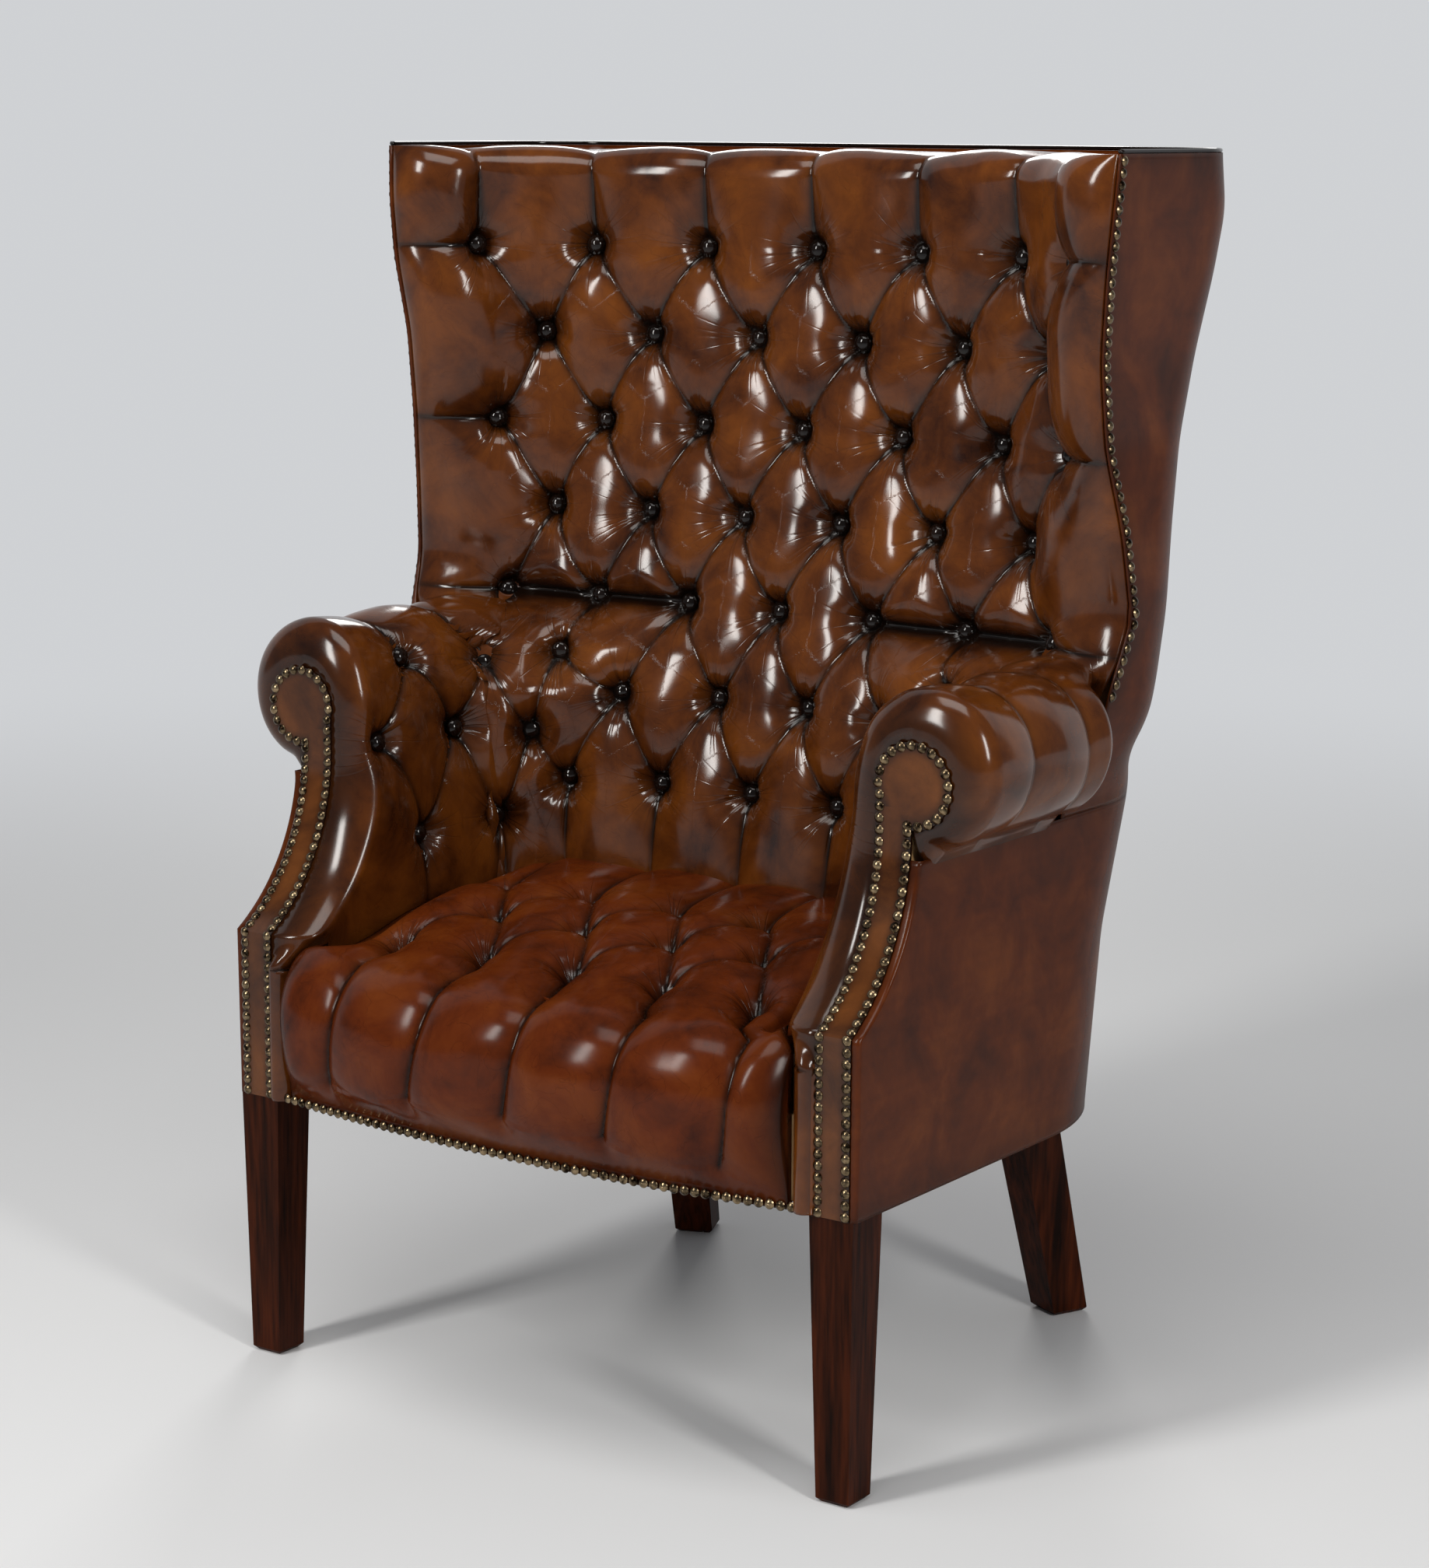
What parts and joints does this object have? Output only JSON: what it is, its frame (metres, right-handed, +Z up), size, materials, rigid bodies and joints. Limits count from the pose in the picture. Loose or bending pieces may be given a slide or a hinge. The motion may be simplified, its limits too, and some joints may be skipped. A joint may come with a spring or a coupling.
{
  "type": "wing armchair",
  "caption": "Barrel-backed porter's armchair with tall wings, rolled arms and a sprung seat, in deep-buttoned leather on a hardwood frame with tapered legs.",
  "frame": {"origin": "on the floor under the middle of the chair's outer box", "axes": "+Z up, the chair faces -Y, +X is to the right of a viewer who faces the chair"},
  "size_m": [0.84, 0.662, 1.15],
  "materials": {
    "leather": "glossy hand-dyed hide, orange-brown with a darker patina in the folds",
    "seat_leather": "glossy hide, redder and finely creased from use",
    "button_leather": "near-black dyed leather",
    "antique_brass": "dull antique brass nail heads",
    "mahogany": "dark polished mahogany, worn lighter along the edges",
    "beech": "plain sawn beech",
    "hessian": "loose jute weave",
    "horsehair": "matted curled hair",
    "jute_webbing": "herringbone jute web",
    "black_cloth": "thin black cambric",
    "spring_steel": "coppered steel wire"
  },
  "bodies": {
    "root": {"inside_back_cover": "leather", "outside_back": "leather", "top_welt": "leather", "arm_cover_left": "leather", "arm_cover_right": "leather", "outside_arm_left": "leather", "outside_arm_right": "leather", "outside_wing_left": "leather", "outside_wing_right": "leather", "facing_left": "leather", "facing_right": "leather", "seat_cover": "seat_leather", "back_buttons": "button_leather", "arm_buttons_left": "button_leather", "arm_buttons_right": "button_leather", "front_nails": "antique_brass", "facing_nails_left": "antique_brass", "facing_nails_right": "antique_brass", "wing_nails_left": "antique_brass", "wing_nails_right": "antique_brass", "front_leg_left": "mahogany", "front_leg_right": "mahogany", "rear_leg_left": "mahogany", "rear_leg_right": "mahogany", "back_rail": "beech", "front_rail": "beech", "top_rail": "beech", "back_tacking_rail": "beech", "corner_blocks": "beech", "side_rail_left": "beech", "side_rail_right": "beech", "back_upright_left": "beech", "back_upright_right": "beech", "arm_front_left": "beech", "arm_front_right": "beech", "arm_rail_left": "beech", "arm_rail_right": "beech", "wing_post_left": "beech", "wing_post_right": "beech", "wing_top_rail_left": "beech", "wing_top_rail_right": "beech", "side_tacking_rail_left": "beech", "side_tacking_rail_right": "beech", "spring_canvas": "hessian", "back_hessian": "hessian", "seat_stuffing": "horsehair", "back_stuffing": "horsehair", "seat_webbing": "jute_webbing", "back_webbing": "jute_webbing", "bottom_cloth": "black_cloth", "seat_springs": "spring_steel"}
  },
  "joints": []
}
